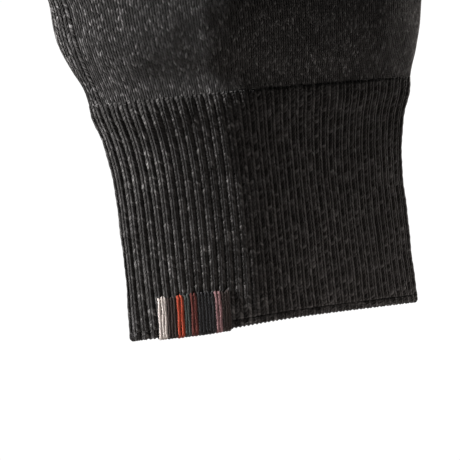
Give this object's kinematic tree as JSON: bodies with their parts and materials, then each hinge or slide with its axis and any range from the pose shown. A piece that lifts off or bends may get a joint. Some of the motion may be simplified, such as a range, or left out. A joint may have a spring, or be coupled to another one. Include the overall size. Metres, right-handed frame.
{
  "type": "touchscreen gloves",
  "caption": "Knitted wool glove with a long ribbed cuff, stitched yarn bars at the hem and conductive thumb and index fingertips.",
  "frame": {"origin": "centre of the wrist opening, at the bound-off rim of the cuff", "axes": "+Z from the wrist opening to the fingertips, -Y out of the back of the hand, +Y out of the palm, -X the thumb side, +X the little finger side"},
  "size_m": [0.1581, 0.031, 0.2344],
  "materials": {
    "charcoal_rib": "ribbed wool knit, heathered",
    "charcoal_jersey": "plain wool knit, heathered",
    "conductive_knit": "plain knit of conductive yarn",
    "closing_thread": "twisted wool thread",
    "label_tape": "satin tape, blank",
    "label_thread": "sewing thread",
    "yarn_ivory": "wool yarn",
    "yarn_brown": "wool yarn",
    "yarn_orange_red": "wool yarn",
    "yarn_grey_green": "wool yarn",
    "yarn_maroon": "wool yarn",
    "yarn_navy": "wool yarn",
    "yarn_mauve": "wool yarn"
  },
  "bodies": {
    "cuff": {"rib_cuff": "charcoal_rib", "cuff_edge": "charcoal_rib", "care_label": "label_tape", "care_label_stitches": "label_thread", "bar_ivory": "yarn_ivory", "bar_brown_left": "yarn_brown", "bar_orange_red": "yarn_orange_red", "bar_grey_green": "yarn_grey_green", "bar_maroon": "yarn_maroon", "bar_navy": "yarn_navy", "bar_mauve": "yarn_mauve", "bar_brown_right": "yarn_brown"},
    "hand": {"hand": "charcoal_jersey", "wrist_knit": "charcoal_jersey", "thumb_seam": "closing_thread", "finger_crotch_stitches": "closing_thread"},
    "index_base": {"index_base": "charcoal_jersey", "index_knuckle_knit": "charcoal_jersey"},
    "index_end": {"index_end": "charcoal_jersey", "index_middle_knit": "charcoal_jersey", "index_tip_stitches": "closing_thread", "index_touch_tip": "conductive_knit"},
    "middle_base": {"middle_base": "charcoal_jersey", "middle_knuckle_knit": "charcoal_jersey"},
    "middle_end": {"middle_end": "charcoal_jersey", "middle_middle_knit": "charcoal_jersey", "middle_tip_stitches": "closing_thread"},
    "ring_base": {"ring_base": "charcoal_jersey", "ring_knuckle_knit": "charcoal_jersey"},
    "ring_end": {"ring_end": "charcoal_jersey", "ring_middle_knit": "charcoal_jersey", "ring_tip_stitches": "closing_thread"},
    "little_base": {"little_base": "charcoal_jersey", "little_knuckle_knit": "charcoal_jersey"},
    "little_end": {"little_end": "charcoal_jersey", "little_middle_knit": "charcoal_jersey", "little_tip_stitches": "closing_thread"},
    "thumb_base": {"thumb_base": "charcoal_jersey", "thumb_knuckle_knit": "charcoal_jersey"},
    "thumb_end": {"thumb_end": "charcoal_jersey", "thumb_tip_knit": "charcoal_jersey", "thumb_tip_stitches": "closing_thread", "thumb_touch_tip": "conductive_knit"}
  },
  "joints": [
    {"name": "wrist_bend", "type": "hinge", "parent": "cuff", "child": "hand", "pos_m": [0, 0, 0.072], "axis": [-1, 0, 0], "range_deg": [-45, 55], "stiffness_Nm_per_rad": 0.08, "deforming": ["wrist_knit"]},
    {"name": "index_knuckle_bend", "type": "hinge", "parent": "hand", "child": "index_base", "pos_m": [-0.03681, 0, 0.15948], "axis": [-1, 0, 0], "range_deg": [0, 80], "stiffness_Nm_per_rad": 0.006, "deforming": ["index_knuckle_knit"]},
    {"name": "index_middle_bend", "type": "hinge", "parent": "index_base", "child": "index_end", "pos_m": [-0.03846, 0, 0.18304], "axis": [-1, 0, 0], "range_deg": [0, 90], "stiffness_Nm_per_rad": 0.004, "deforming": ["index_middle_knit"]},
    {"name": "middle_knuckle_bend", "type": "hinge", "parent": "hand", "child": "middle_base", "pos_m": [-0.01114, 0, 0.1605], "axis": [-1, 0, 0], "range_deg": [0, 80], "stiffness_Nm_per_rad": 0.006, "deforming": ["middle_knuckle_knit"]},
    {"name": "middle_middle_bend", "type": "hinge", "parent": "middle_base", "child": "middle_end", "pos_m": [-0.01138, 0, 0.18818], "axis": [-1, 0, 0], "range_deg": [0, 90], "stiffness_Nm_per_rad": 0.004, "deforming": ["middle_middle_knit"]},
    {"name": "ring_knuckle_bend", "type": "hinge", "parent": "hand", "child": "ring_base", "pos_m": [0.01455, 0, 0.15949], "axis": [-1, 0, 0], "range_deg": [0, 80], "stiffness_Nm_per_rad": 0.006, "deforming": ["ring_knuckle_knit"]},
    {"name": "ring_middle_bend", "type": "hinge", "parent": "ring_base", "child": "ring_end", "pos_m": [0.01588, 0, 0.18491], "axis": [-1, 0, 0], "range_deg": [0, 90], "stiffness_Nm_per_rad": 0.004, "deforming": ["ring_middle_knit"]},
    {"name": "little_knuckle_bend", "type": "hinge", "parent": "hand", "child": "little_base", "pos_m": [0.03858, 0, 0.15842], "axis": [-1, 0, 0], "range_deg": [0, 80], "stiffness_Nm_per_rad": 0.006, "deforming": ["little_knuckle_knit"]},
    {"name": "little_middle_bend", "type": "hinge", "parent": "little_base", "child": "little_end", "pos_m": [0.04124, 0, 0.17733], "axis": [-1, 0, 0], "range_deg": [0, 90], "stiffness_Nm_per_rad": 0.004, "deforming": ["little_middle_knit"]},
    {"name": "thumb_knuckle_bend", "type": "hinge", "parent": "hand", "child": "thumb_base", "pos_m": [-0.0663, 0, 0.12314], "axis": [-0.7431, 0, -0.6691], "range_deg": [0, 50], "stiffness_Nm_per_rad": 0.006, "deforming": ["thumb_knuckle_knit"]},
    {"name": "thumb_tip_bend", "type": "hinge", "parent": "thumb_base", "child": "thumb_end", "pos_m": [-0.08035, 0, 0.13875], "axis": [-0.7431, 0, -0.6691], "range_deg": [0, 65], "stiffness_Nm_per_rad": 0.004, "deforming": ["thumb_tip_knit"]}
  ]
}
